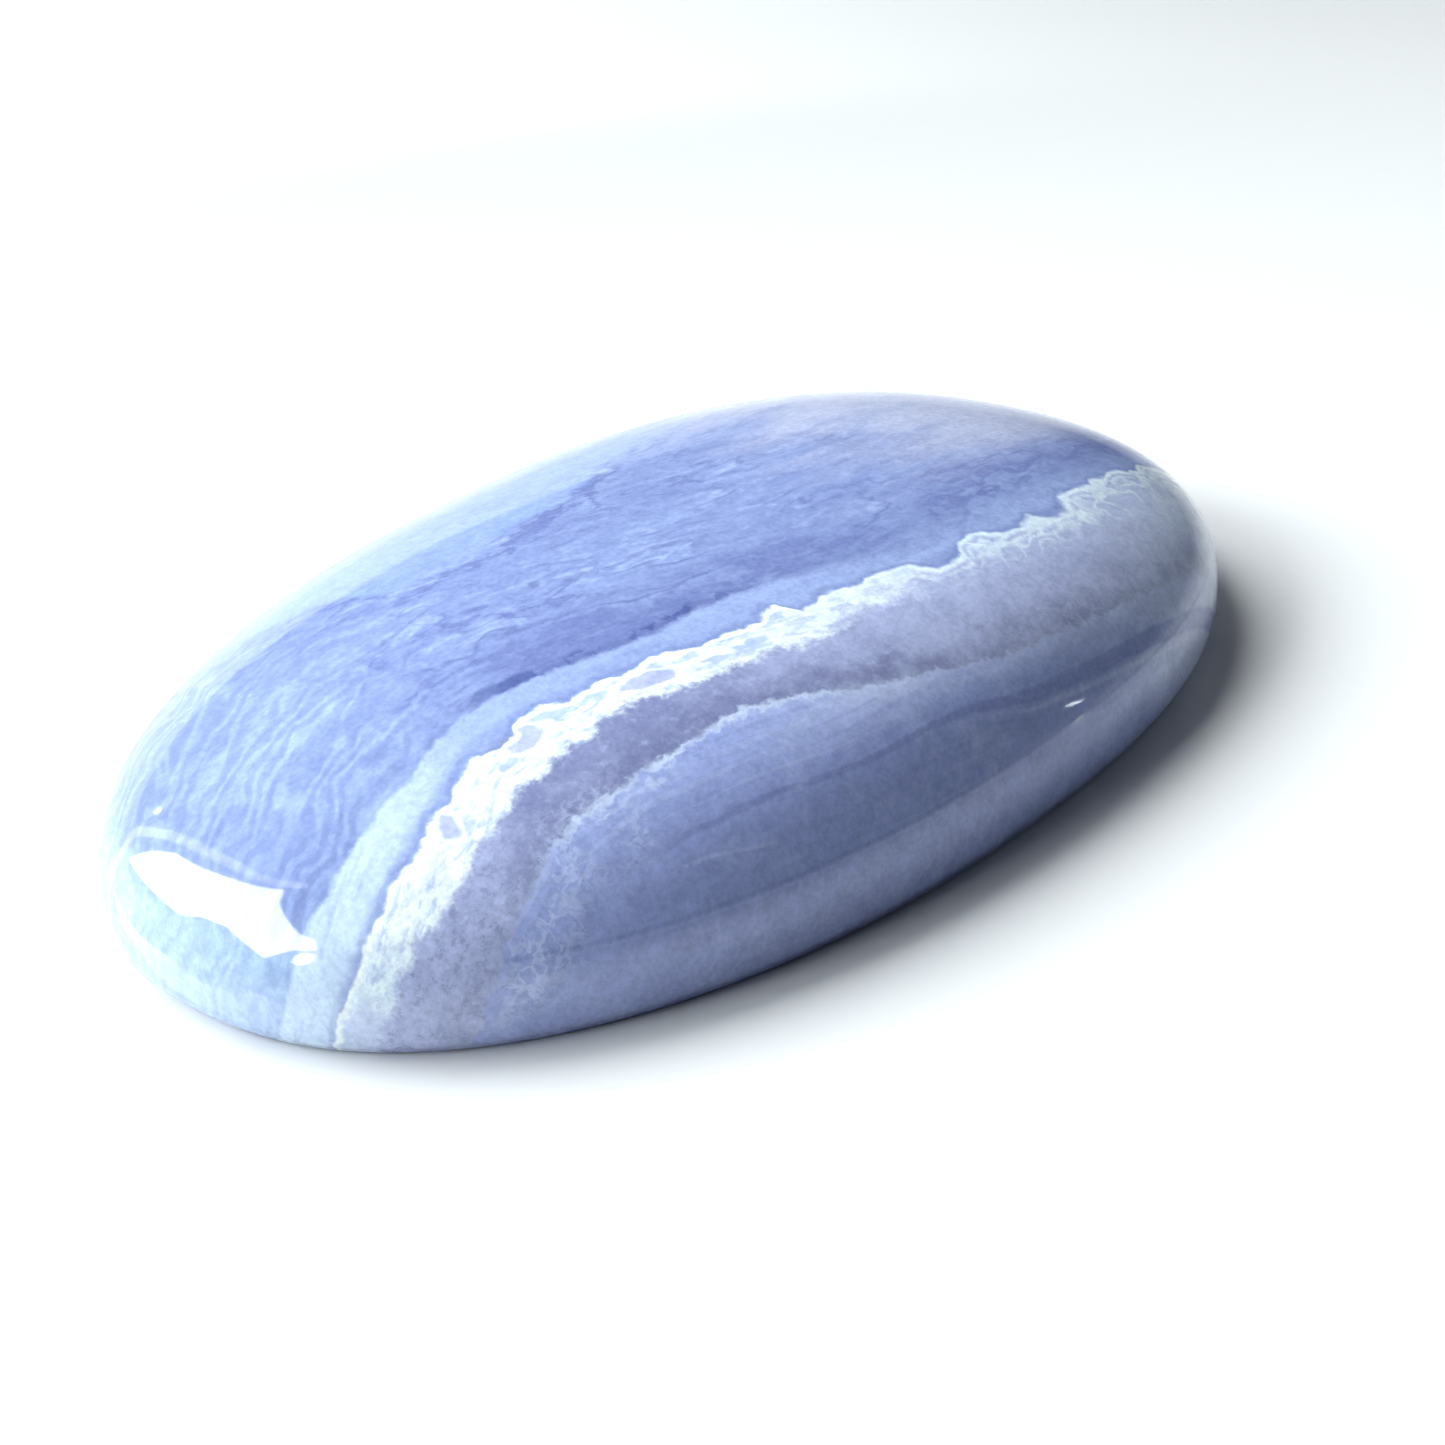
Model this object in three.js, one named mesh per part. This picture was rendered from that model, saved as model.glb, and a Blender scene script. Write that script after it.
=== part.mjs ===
// A chalcedony cabochon: one oval piece of banded blue agate, cut and polished as a gem cutter does it.
// The top is a low dome, the widest level lies just above the base, and the wall leans in a little
// below it. A narrow bevel breaks the lower edge, and the back is flat, so the stone lies still.
import * as THREE from "three";
import { mergeVertices } from "three/addons/utils/BufferGeometryUtils.js";

// Driving dimensions, in millimetres. X runs along the stone and Z up from the flat back.
const LENGTH = 40;
const WIDTH = 26; // across the middle of the length
const THICKNESS = 7.06; // from the flat back to the crown
const GIRDLE_HEIGHT = 1.36; // the widest level, above the back
const BEVEL_HEIGHT = 0.14;
const BEVEL_WIDTH = 0.3;

// How the outline differs from an ellipse: its flanks are fuller, and the +X half is a little wider.
const OUTLINE_POWER = 2.25;
const EGG_SHARE = 0.05;

// The dome's two powers give it a broad, gently curved crown and a steep lower wall.
const DOME_RADIAL_POWER = 2.4;
const DOME_HEIGHT_POWER = 2.15;

// Below the girdle the wall leans in by this share of the outline, most of it close to the bevel.
const WALL_INSET_SHARE = 0.032;
const WALL_INSET_POWER = 3.5;

// The fineness of the facets
const AROUND = 96;
const DOME_STEPS = 28;
const WALL_STEPS = 5;

// The dome from the girdle up: the share of the outline that each level fills, and its height.
function domeProfile() {
  const points = [];
  for (let i = 0; i < DOME_STEPS; i++) {
    const turn = (i / DOME_STEPS) * (Math.PI / 2);
    const share = Math.cos(turn) ** (2 / DOME_RADIAL_POWER);
    const rise = Math.sin(turn) ** (2 / DOME_HEIGHT_POWER);
    points.push(new THREE.Vector2(share, GIRDLE_HEIGHT + (THICKNESS - GIRDLE_HEIGHT) * rise));
  }
  points.push(new THREE.Vector2(0, THICKNESS));
  return points;
}

// The wall from the top of the bevel up to just under the girdle.
function wallProfile() {
  const points = [];
  for (let i = 0; i < WALL_STEPS; i++) {
    const height = THREE.MathUtils.lerp(BEVEL_HEIGHT, GIRDLE_HEIGHT, i / WALL_STEPS);
    const depth = 1 - height / GIRDLE_HEIGHT;
    points.push(new THREE.Vector2(1 - WALL_INSET_SHARE * depth ** WALL_INSET_POWER, height));
  }
  return points;
}

// Half of the stone's cross-section, from the middle of the back round to the crown.
function profile() {
  const wall = wallProfile();
  const bevelShare = BEVEL_WIDTH / (LENGTH / 2);
  return [
    new THREE.Vector2(0, 0),
    new THREE.Vector2(wall[0].x - bevelShare, 0),
    ...wall,
    ...domeProfile(),
  ];
}

// One coordinate of a unit circle, pushed out to the fuller curve of the outline.
function fuller(coordinate) {
  return Math.sign(coordinate) * Math.abs(coordinate) ** (2 / OUTLINE_POWER);
}

// Turns the round lathe body into the oval stone: each level is a scaled copy of the outline.
function makeOval(geometry) {
  const position = geometry.getAttribute("position");
  for (let i = 0; i < position.count; i++) {
    const share = Math.hypot(position.getX(i), position.getY(i));
    if (share === 0) continue;
    const along = fuller(position.getX(i) / share);
    const across = fuller(position.getY(i) / share) * (1 + EGG_SHARE * along);
    position.setX(i, (LENGTH / 2) * share * along);
    position.setY(i, (WIDTH / 2) * share * across);
  }
}

function cabochonGeometry() {
  const lathe = new THREE.LatheGeometry(profile(), AROUND);
  lathe.rotateX(Math.PI / 2);
  lathe.deleteAttribute("normal");
  lathe.deleteAttribute("uv");
  makeOval(lathe);
  const closed = mergeVertices(lathe, 1e-4);
  closed.computeVertexNormals();
  return closed;
}

const polishedChalcedony = new THREE.MeshStandardMaterial({
  color: 0x96a6d6,
  roughness: 0.1,
  metalness: 0,
});

const cabochon = new THREE.Mesh(cabochonGeometry(), polishedChalcedony);
cabochon.name = "cabochon";

const stone = new THREE.Group();
stone.add(cabochon);

export default stone;
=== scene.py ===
# %% [markdown]
# # A cabochon of blue lace agate
#
# The object is one oval stone, cut from banded blue chalcedony and polished by hand. It has a low
# dome on top, a steep lower wall and a flat back, and it lies on a glossy white table top. Almost
# everything that makes it look real is in two things: a smooth form that bends reflections evenly,
# and a finish whose layers run through the whole stone, as they do in real agate. The measured solid
# gives the size and the place, so it is loaded first and nothing here moves or resizes it.

# %% Load the measured stone
import math

import bmesh
import bpy
from mathutils import Matrix, Vector, noise


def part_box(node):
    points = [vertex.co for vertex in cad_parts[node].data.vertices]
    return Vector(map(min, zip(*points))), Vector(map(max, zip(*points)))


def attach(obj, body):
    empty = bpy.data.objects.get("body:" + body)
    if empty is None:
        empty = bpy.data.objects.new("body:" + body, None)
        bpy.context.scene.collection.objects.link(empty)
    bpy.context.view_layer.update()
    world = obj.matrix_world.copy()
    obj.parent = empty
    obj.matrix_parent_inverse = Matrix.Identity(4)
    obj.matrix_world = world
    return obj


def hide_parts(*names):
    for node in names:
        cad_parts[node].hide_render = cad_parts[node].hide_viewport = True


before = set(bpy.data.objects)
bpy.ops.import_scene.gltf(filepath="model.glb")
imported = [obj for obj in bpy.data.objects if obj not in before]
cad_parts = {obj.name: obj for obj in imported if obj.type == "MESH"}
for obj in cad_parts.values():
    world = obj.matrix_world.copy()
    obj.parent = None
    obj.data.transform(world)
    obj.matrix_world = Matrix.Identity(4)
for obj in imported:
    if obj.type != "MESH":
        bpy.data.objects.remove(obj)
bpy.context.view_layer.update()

MM = 0.001
LOWEST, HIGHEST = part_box("cabochon")
LENGTH, WIDTH, THICKNESS = HIGHEST - LOWEST
print(f"stone: {LENGTH / MM:.1f} x {WIDTH / MM:.1f} x {THICKNESS / MM:.2f} mm")

# %% [markdown]
# ## The camera
#
# The photograph was taken from very near, so the near end of the stone looks much bigger than the
# far end. A long lens from far away could frame the stone equally well, but it would lose that
# strong perspective. The camera therefore stands only about 68 mm from the stone's middle, and its
# direction is given by two angles round the stone, plus a small roll of the hand.

# %% Camera
AZIMUTH = math.radians(-47.0)
ELEVATION = math.radians(27.2)
ROLL = math.radians(-5.54)
DISTANCE = 68.0 * MM
AIM = Vector((-0.16, -1.07, 0.0)) * MM
PHOTO_SIDE = 1445
FOCAL_PIXELS = 2189
SENSOR_MM = 36.0


def direction(azimuth, elevation):
    """The unit vector from the stone towards a place at these two angles, as the camera counts them."""
    flat = math.cos(elevation)
    return Vector((math.sin(azimuth) * flat, -math.cos(azimuth) * flat, math.sin(elevation)))


def make_camera():
    """Places the camera on its sphere round the aim and turns it by the roll."""
    lens = bpy.data.cameras.new("camera")
    lens.sensor_width = SENSOR_MM
    lens.lens = FOCAL_PIXELS * SENSOR_MM / PHOTO_SIDE
    lens.clip_start = 1 * MM
    camera = bpy.data.objects.new("camera", lens)
    bpy.context.scene.collection.objects.link(camera)
    back = direction(AZIMUTH, ELEVATION)
    level = Vector((math.cos(AZIMUTH), math.sin(AZIMUTH), 0))
    upright = back.cross(level)
    right = math.cos(ROLL) * level + math.sin(ROLL) * upright
    up = math.cos(ROLL) * upright - math.sin(ROLL) * level
    turn = Matrix((right, up, back)).transposed().to_4x4()
    camera.matrix_world = Matrix.Translation(AIM + back * DISTANCE) @ turn
    bpy.context.scene.camera = camera
    return camera


camera = make_camera()
print(f"camera: {camera.data.lens:.1f} mm lens, {DISTANCE / MM:.0f} mm away")

# %% [markdown]
# ## The outline and the cross-section
#
# The cutter grinds the plan of the stone first: an oval whose flanks are a little fuller than an
# ellipse and whose far end is a little wider. Then the dome is ground down to that outline. Both are
# formulas, so the mesh can be as fine as the reflections need.

# %% Form of the stone
OUTLINE_POWER = 2.25
EGG_SHARE = 0.05
DOME_RADIAL_POWER = 2.4
DOME_HEIGHT_POWER = 2.15
GIRDLE_HEIGHT = 1.36 * MM
WALL_INSET_SHARE = 0.032
WALL_INSET_POWER = 3.5
BEVEL_HEIGHT = 0.14 * MM
BEVEL_WIDTH = 0.30 * MM

AROUND = 420
DOME_RINGS = 130
WALL_RINGS = 18
BEVEL_RINGS = 7
BACK_RINGS = 8
CROWN_CROWDING = 1.4


def fuller(coordinate):
    """One coordinate of a unit circle, pushed out to the fuller curve of the outline."""
    return math.copysign(abs(coordinate) ** (2 / OUTLINE_POWER), coordinate)


def outline(turn):
    """The outline's point at this turn, in half lengths along and half widths across."""
    along = fuller(math.cos(turn))
    return along, fuller(math.sin(turn)) * (1 + EGG_SHARE * along)


TURNS = [math.tau * i / AROUND for i in range(AROUND)]
HALF_LENGTH = LENGTH / 2
HALF_WIDTH = WIDTH / 2 / max(outline(turn)[1] for turn in TURNS)
print("plan:", AROUND, "points around")

# %% [markdown]
# From the side the stone is a dome on a steep wall, with a narrow bevel above its flat back. A
# sculpted or remeshed body would show every bump in the polish, so the mesh repeats this section
# round the outline, ring by ring, with the rings closest together at the crown.

# %% Cross-section and mesh
def wall_share(height):
    """How much of the outline the wall fills at a height below the girdle."""
    return 1 - WALL_INSET_SHARE * (1 - height / GIRDLE_HEIGHT) ** WALL_INSET_POWER


def cross_section():
    """Half of the section as (share of the outline, height), from the back's middle to the crown."""
    lip = wall_share(BEVEL_HEIGHT)
    flat = lip - BEVEL_WIDTH / HALF_LENGTH
    rings = [(flat * i / BACK_RINGS, 0.0) for i in range(1, BACK_RINGS)]
    for i in range(BEVEL_RINGS):
        turn = math.pi / 2 * i / BEVEL_RINGS
        rings.append((flat + (lip - flat) * math.sin(turn), BEVEL_HEIGHT * (1 - math.cos(turn))))
    for i in range(WALL_RINGS):
        height = BEVEL_HEIGHT + (GIRDLE_HEIGHT - BEVEL_HEIGHT) * i / WALL_RINGS
        rings.append((wall_share(height), height))
    for i in range(DOME_RINGS):
        turn = math.pi / 2 * (1 - (1 - i / DOME_RINGS) ** CROWN_CROWDING)
        share = math.cos(turn) ** (2 / DOME_RADIAL_POWER)
        rise = math.sin(turn) ** (2 / DOME_HEIGHT_POWER)
        rings.append((share, GIRDLE_HEIGHT + (THICKNESS - GIRDLE_HEIGHT) * rise))
    return rings


def stone_mesh():
    """The closed surface: rings of points joined by quads, and a fan of triangles at each pole."""
    rings = cross_section()
    points = [Vector((0, 0, 0))]
    for share, height in rings:
        for turn in TURNS:
            along, across = outline(turn)
            points.append(Vector((HALF_LENGTH * share * along, HALF_WIDTH * share * across, height)))
    points.append(Vector((0, 0, THICKNESS)))
    crown = len(points) - 1
    last = 1 + (len(rings) - 1) * AROUND
    faces = []
    for i in range(AROUND):
        j = (i + 1) % AROUND
        faces.append((0, 1 + j, 1 + i))
        faces.append((crown, last + i, last + j))
        for ring in range(len(rings) - 1):
            low = 1 + ring * AROUND
            high = low + AROUND
            faces.append((low + i, low + j, high + j, high + i))
    mesh = bpy.data.meshes.new("stone")
    mesh.from_pydata(points, [], faces)
    return mesh


mesh = stone_mesh()
print(f"stone mesh: {len(mesh.vertices)} points, {len(mesh.polygons)} faces")

# %% [markdown]
# ## Hand polish and small damage
#
# A hand-polished dome is never a perfect formula. It swells and dips by about a hundredth of a
# millimetre, which is too little to see in the outline but enough to make the edge of a highlight
# waver. There is also a pit on the crown, where a tiny crystal pocket was cut open, and a nick in
# the lower edge. A bump map would shade them, but it couldn't notch the edge, so all three are
# moved in the mesh itself. The mesh is cut finer round the pit and the nick first.

# %% Hand polish, pit and nick
SWELL_DEPTH = 0.012 * MM
SWELL_SIZE = 5.0 * MM
SWELL_INWARDS = 0.3
PIT = {"centre": (-6.2, -0.2), "radius": 0.30 * MM, "depth": 0.10 * MM}
NICK = {"centre": (-17.9, -6.1), "radius": 0.26 * MM, "depth": 0.12 * MM}
FLOOR_MIDDLE = 0.8
FLOOR_SPREAD = 0.4
FLOOR_GRAIN = 0.15 * MM
EXTRA_CUTS = 3


def nearest_point(form, x, y, low=False):
    """The mesh point nearest to a place in the plan, on the dome or near the lower edge."""
    def distance(point):
        place = point.co
        level = abs(place.z - 2 * BEVEL_HEIGHT) if low else -place.z
        return math.hypot(place.x - x * MM, place.y - y * MM) + level
    return min(form.verts, key=distance).co.copy()


def cut_finer(form, centre, radius):
    """Splits the edges round a place, so that small damage has points enough to show."""
    near = [e for e in form.edges if all((v.co - centre).length < radius for v in e.verts)]
    bmesh.ops.subdivide_edges(form, edges=near, cuts=EXTRA_CUTS, use_grid_fill=True)


def press_in(form, centre, radius, depth):
    """Moves the points round a place inwards, most in the middle, with an uneven floor."""
    form.normal_update()
    moves = []
    for point in form.verts:
        reach = (point.co - centre).length / radius
        if reach < 1:
            uneven = FLOOR_MIDDLE + FLOOR_SPREAD * noise.noise(point.co / FLOOR_GRAIN)
            moves.append((point, point.normal * depth * uneven * (1 - reach**2) ** 2))
    for point, move in moves:
        point.co -= move


def swell(form):
    """Lets the dome rise and fall very slightly, and leaves the wall's foot and the back true."""
    form.normal_update()
    for point in form.verts:
        height = min(1, max(0, point.co.z / GIRDLE_HEIGHT - 1))
        wave = noise.noise(point.co / SWELL_SIZE) - SWELL_INWARDS
        point.co += point.normal * SWELL_DEPTH * wave * height


form = bmesh.new()
form.from_mesh(mesh)
swell(form)
for damage, low in ((PIT, False), (NICK, True)):
    centre = nearest_point(form, *damage["centre"], low=low)
    cut_finer(form, centre, 2 * damage["radius"])
    press_in(form, centre, damage["radius"], damage["depth"])
form.to_mesh(mesh)
form.free()
mesh.shade_smooth()
stone = bpy.data.objects.new("polished_stone", mesh)
bpy.context.scene.collection.objects.link(stone)
print(f"with its damage: {len(mesh.polygons)} faces")

# %% [markdown]
# ## Arithmetic on sockets
#
# The finish of the stone is a long calculation: where a point lies in the layers, how ragged the
# layers are there, and which colour that gives. Such maths is hard to read as a web of nodes. A
# small class wraps a node's output and gives it Python's operators, so that an expression such as
# `1 - mask` adds its Math node by itself.

# %% Sockets
class Socket:
    """An output in a node tree. Python's operators on it add the matching Math nodes."""

    def __init__(self, nodes, output):
        self.nodes = nodes
        self.output = output

    def maths(self, operation, *others):
        """This output in one Math operation, alone or with others."""
        values = dict(enumerate((self, *others)))
        return self.nodes.add("ShaderNodeMath", {"operation": operation}, values)

    def part(self, name):
        """Another output of the same node."""
        return Socket(self.nodes, self.output.node.outputs[name])

    def __add__(self, other):
        return self.maths("ADD", other)

    def __radd__(self, other):
        return self.maths("ADD", other)

    def __sub__(self, other):
        return self.maths("SUBTRACT", other)

    def __rsub__(self, other):
        return self.maths("MULTIPLY", -1.0).maths("ADD", other)

    def __mul__(self, other):
        return self.maths("MULTIPLY", other)

    def __rmul__(self, other):
        return self.maths("MULTIPLY", other)

    def __truediv__(self, other):
        return self.maths("DIVIDE", other)

    def __abs__(self):
        return self.maths("ABSOLUTE")


def opaque(colour):
    """A colour given as three numbers gets its fourth. A socket stays as it is."""
    return colour if isinstance(colour, Socket) else (*colour, 1.0)


print("a socket can do + - * / and abs()")

# %% [markdown]
# Every other node comes from one method, which takes a node's type, its settings and the values of
# its sockets. The short methods after it are the few steps that the finish repeats: a soft step, a
# line, a bent or stretched place and a soft noise.

# %% Node trees
NOISE_MIDDLE = 0.5


def draw_curve(mapping, points):
    """Puts the points on a curve node's first curve. A new curve has two of them already."""
    curve = mapping.curves[0]
    for place, value in points[1:-1]:
        curve.points.new(place, value)
    for point, (place, value) in zip(curve.points, points):
        point.location = (place, value)
    mapping.update()


class Nodes:
    """A node tree, the method that adds nodes to it, and short names for what is used often."""

    def __init__(self, tree):
        self.tree = tree
        tree.nodes.clear()

    def add(self, kind, settings=None, values=None, output=0):
        """Adds a node, sets it up first, then fills its sockets with numbers or links."""
        node = self.tree.nodes.new(kind)
        for name, setting in (settings or {}).items():
            if name == "points":
                draw_curve(node.mapping, setting)
            else:
                setattr(node, name, setting)
        for name, value in (values or {}).items():
            if isinstance(value, Socket):
                self.tree.links.new(value.output, node.inputs[name])
            else:
                node.inputs[name].default_value = value
        return Socket(self, node.outputs[output]) if node.outputs else None

    def mix(self, share, first, second):
        """Goes from the first colour to the second as the share goes from 0 to 1."""
        values = {0: share, 6: opaque(first), 7: opaque(second)}
        return self.add("ShaderNodeMix", {"data_type": "RGBA"}, values, output=2)

    def rise(self, value, low, high):
        """0 below low, 1 above high, and a soft step between. A high below low makes a soft fall."""
        values = {"Value": value, "From Min": low, "From Max": high}
        return self.add("ShaderNodeMapRange", {"interpolation_type": "SMOOTHSTEP"}, values)

    def line(self, value, centre, half_width):
        """1 on a line where the value has its centre, falling softly to 0 at half the width."""
        return self.rise(abs(value - centre), half_width, 0.0)

    def maximum(self, first, second):
        return first.maths("MAXIMUM", second)

    def vector(self, x, y, z):
        return self.add("ShaderNodeCombineXYZ", {}, {0: x, 1: y, 2: z})

    def vectors(self, operation, first, second):
        """One operation on two vectors, axis by axis."""
        return self.add("ShaderNodeVectorMath", {"operation": operation}, {0: first, 1: second})

    def scale(self, vector, factor):
        return self.add("ShaderNodeVectorMath", {"operation": "SCALE"}, {0: vector, "Scale": factor})

    def length(self, vector):
        return self.add("ShaderNodeVectorMath", {"operation": "LENGTH"}, {0: vector}, output="Value")

    def stretched(self, place, factors):
        """The place with its axes multiplied. Noise read there runs long where a factor is small."""
        return self.vectors("MULTIPLY", place, factors)

    def bent(self, place, per_mm, amount):
        """The place pushed about by a vector noise, by up to about half the amount each way."""
        values = {"Vector": place, "Scale": per_mm, "Detail": 1.0}
        three_noises = self.add("ShaderNodeTexNoise", {}, values, "Color")
        push = self.vectors("SUBTRACT", three_noises, [NOISE_MIDDLE] * 3)
        return self.vectors("ADD", place, self.scale(push, amount))

    def cloud(self, place, per_mm, detail=2.0, roughness=0.5):
        """Soft noise round 0, with this many lumps to the millimetre, mostly within a quarter each way."""
        values = {"Vector": place, "Scale": per_mm, "Detail": detail, "Roughness": roughness}
        return self.add("ShaderNodeTexNoise", {}, values) - NOISE_MIDDLE

    def cells(self, place, per_mm):
        """The distance from the middle of the nearest cell of an uneven cell pattern."""
        return self.add("ShaderNodeTexVoronoi", {}, {"Vector": place, "Scale": per_mm})


def make_finish(name):
    """A new material with an empty tree."""
    material = bpy.data.materials.new(name)
    material.use_nodes = True
    return material, Nodes(material.node_tree)


chalcedony, agate = make_finish("polished_chalcedony")
print("a finish is started:", chalcedony.name)

# %% [markdown]
# ## Where a point lies in the layers
#
# Agate grew layer on layer against the wall of a hollow, so its bands are sheets in space and not
# stripes on a surface. One number is enough to say which layer a point belongs to: the distance
# across the sheets. The sheets dip, so they come out at a slant on the steep wall, and they bend
# near the left end, where the hollow had a corner. The number is 0 at the upper edge of the white
# lace band, grows into the blue field behind it and is negative in the grey-violet in front.
#
# A band doesn't keep one thickness along the stone. Its edges are therefore curves too: each list
# of points says how far the edge lies from the lace's upper edge, in millimetres, at a few places
# along the stone.

# %% Layers
DIP = 0.5
LACE_PATH = [
    (-20.0, -5.6), (-16.6, -3.1), (-14.2, -2.05), (-12.0, -1.45), (-10.0, -1.8), (-6.0, -3.0),
    (-2.0, -4.1), (2.0, -5.1), (8.0, -5.5), (20.0, -5.0),
]
PATH_START = -20.0
PATH_LENGTH = 40.0
SWAY_PER_MM = 0.09
SWAY_AMOUNT = 4.5
SWAY_REACH = (3.0, 16.0)
WAVER_PER_MM = 0.5
WAVER_AMOUNT = 0.25
SKEW = 0.25

position = agate.scale(agate.add("ShaderNodeTexCoord", {}, output="Object"), 1 / MM)
x = agate.add("ShaderNodeSeparateXYZ", {}, {0: position})
y = x.part("Y")
z = x.part("Z")


def curve_of(points):
    """A smooth curve through points given as (mm along the stone, value)."""
    values = [value for place, value in points]
    low = min(values)
    span = max(values) - low
    marks = [((place - PATH_START) / PATH_LENGTH, (value - low) / span) for place, value in points]
    share = agate.add("ShaderNodeFloatCurve", {"points": marks}, {"Value": (x - PATH_START) / PATH_LENGTH})
    return share * span + low


straight = y + DIP * z - curve_of(LACE_PATH)
sway = agate.cloud(position, SWAY_PER_MM, detail=0.0) * agate.rise(abs(straight), *SWAY_REACH)
waver = agate.cloud(position, WAVER_PER_MM)
layer = straight + sway * SWAY_AMOUNT + waver * WAVER_AMOUNT
along = x + DIP * z - y * SKEW
deep = z - DIP * y
flow = agate.vector(along, layer, deep)
print("layers: dip", DIP, "and", len(LACE_PATH), "points on the lace's path")

# %% [markdown]
# ## The blue field
#
# Behind the white band lies the widest zone, a periwinkle blue full of fine wavy folds. Two furrows
# cross its crown. Beyond the longer one the field is calm and paler, partly as a painted reflection
# of the bright strip behind the table. The far flank has a few broad bands. The furrows' paths are
# given as places in the plan of the stone.

# %% Blue field: colours and paths
FIELD_DEEP = (0.175, 0.220, 0.470)
FIELD_MIDDLE = (0.245, 0.315, 0.580)
FIELD_PALE = (0.370, 0.465, 0.750)
FIELD_ICE = (0.430, 0.580, 0.820)
FIELD_LILAC = (0.455, 0.490, 0.670)
FAR_PALE_AND_PAINTED_REFLECTION = (0.300, 0.405, 0.740)
LONG_FURROW = [
    (-20.0, 12.0), (-9.1, 5.2), (-8.6, 3.9), (-7.9, 3.0), (-6.7, 2.9), (-5.4, 2.5), (-4.4, 2.8),
    (-3.0, 3.1), (-0.5, 3.5), (1.3, 4.0), (2.4, 4.2), (20.0, 8.0),
]
SHORT_FURROW = [
    (-20.0, 9.0), (-10.0, 2.8), (-9.2, 0.8), (-8.7, 0.1), (-7.8, -0.7), (-6.3, -1.6), (-5.2, -2.7),
    (20.0, -8.0),
]
print("furrows through", len(LONG_FURROW), "and", len(SHORT_FURROW), "points")

# %% [markdown]
# Up close the field looks like crumpled cloth: pale ridges and dark creases that follow the layers,
# swing with them and break off. They are broad and clear near the left end and fine and faint
# further right. A plain stretched noise would look like brushed metal. Here a sine wave runs across
# the layers and a noise pushes its phase about, so neighbouring folds stay parallel but swing, join
# and end.

# %% Blue field: folds
BROAD_FOLDS = {"per_mm": 1.45, "warp": 4.6, "stretch": (0.42, 0.55, 0.45)}
FINE_FOLDS = {"per_mm": 0.70, "warp": 3.4, "stretch": (0.55, 1.00, 0.80)}
RIPPLE_PER_MM = 1.05
RIPPLE_STEP = (0.06, 0.22, 0.0)
CREASE_PER_MM = 0.62
CREASE_WIDTH = 0.050


def folds(per_mm, warp, stretch):
    """Waves across the layers, from -1 to 1, whose phase a noise pushes about."""
    place = agate.bent(agate.stretched(flow, stretch), 0.9, 0.6)
    return ((layer * per_mm + agate.cloud(place, 1.0) * warp) * math.tau).maths("SINE")


def painted_relief_shading(place, per_mm, step):
    """Noise minus the same noise one step away: painted shading, light and dark flanks as if small folds
    were lit from one side.
    """
    here = agate.cloud(place, per_mm, roughness=0.6)
    there = agate.cloud(agate.vectors("ADD", place, step), per_mm, roughness=0.6)
    return here - there


def streaks(stretch):
    """Soft noise drawn out along the layers."""
    return agate.cloud(agate.stretched(flow, stretch), 1.0, detail=4.0, roughness=0.6)


field_left = agate.rise(x + waver * 6, -10.5, -14.5)
patches = agate.cloud(position, 0.38, detail=3.0)
crumpled = agate.bent(agate.stretched(flow, (0.5, 1.0, 0.8)), 0.8, 1.5)
# Painted shading: the stone's fine folds get a light and a dark flank, as if lit from one side.
painted_ripple_shading = painted_relief_shading(crumpled, RIPPLE_PER_MM, RIPPLE_STEP)
streak = streaks((0.10, 0.55, 0.20))
broad_folds = folds(**BROAD_FOLDS)


def fold_tone():
    """What the folds add to the tone: clear crests near the left end, broken creases elsewhere."""
    near_rim = agate.rise(z, 5.3, 4.0)
    crests = agate.rise(broad_folds, -0.8, 1.0) * (0.04 + field_left * 0.42)
    crests = crests - field_left * (0.20 + near_rim * 0.22)
    contour = agate.cloud(crumpled, CREASE_PER_MM, detail=3.0)
    broken = agate.rise(patches, -0.12, 0.08) * (1 - field_left * 0.8)
    creases = agate.line(contour, 0.0, CREASE_WIDTH) * broken * 0.42
    flanks = agate.line(contour, CREASE_WIDTH * 1.5, CREASE_WIDTH) * broken * 0.20
    return crests - creases + flanks + folds(**FINE_FOLDS) * (0.08 - field_left * 0.04)


print("folds:", BROAD_FOLDS["per_mm"], "and", FINE_FOLDS["per_mm"], "to the millimetre")

# %% [markdown]
# The polish runs smoothly over the furrows, so they are only colour: dark and blotchy where a point
# is near the path. Noise makes that distance waver, or the furrow would look drawn with a pen.

# %% Blue field: furrows
LONG_HALF_WIDTH = 0.52
SHORT_HALF_WIDTH = 0.34
FURROW_WAVER = 1.3

furrow_waver = agate.cloud(position, 1.3, detail=4.0, roughness=0.7) * FURROW_WAVER
blotches = agate.rise(agate.cloud(position, 0.85, detail=3.0, roughness=0.6), -0.06, 0.14)
on_crown = agate.rise(z, 4.5, 5.5)


def furrow(points, half_width):
    """The distance beyond a wavy furrow through (x, y) points, and how dark its line is."""
    gap = y - curve_of(points) + furrow_waver
    first = points[1][0]
    last = points[-2][0]
    ends = agate.rise(x, first - 0.6, first + 1.2) * agate.rise(x, last + 0.6, last - 1.2)
    wide = agate.rise(abs(gap + 0.12) / (0.35 + blotches), half_width, half_width * 0.3)
    thin = agate.line(gap, 0.0, half_width * 0.42)
    dark = agate.maximum(wide * (0.20 + blotches * 0.80), thin * 0.75)
    return gap, dark * ends * on_crown


beyond_furrow, long_furrow = furrow(LONG_FURROW, LONG_HALF_WIDTH)
_, short_furrow = furrow(SHORT_FURROW, SHORT_HALF_WIDTH)
print("furrows:", 2 * LONG_HALF_WIDTH, "and", 2 * SHORT_HALF_WIDTH, "mm wide")

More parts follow.
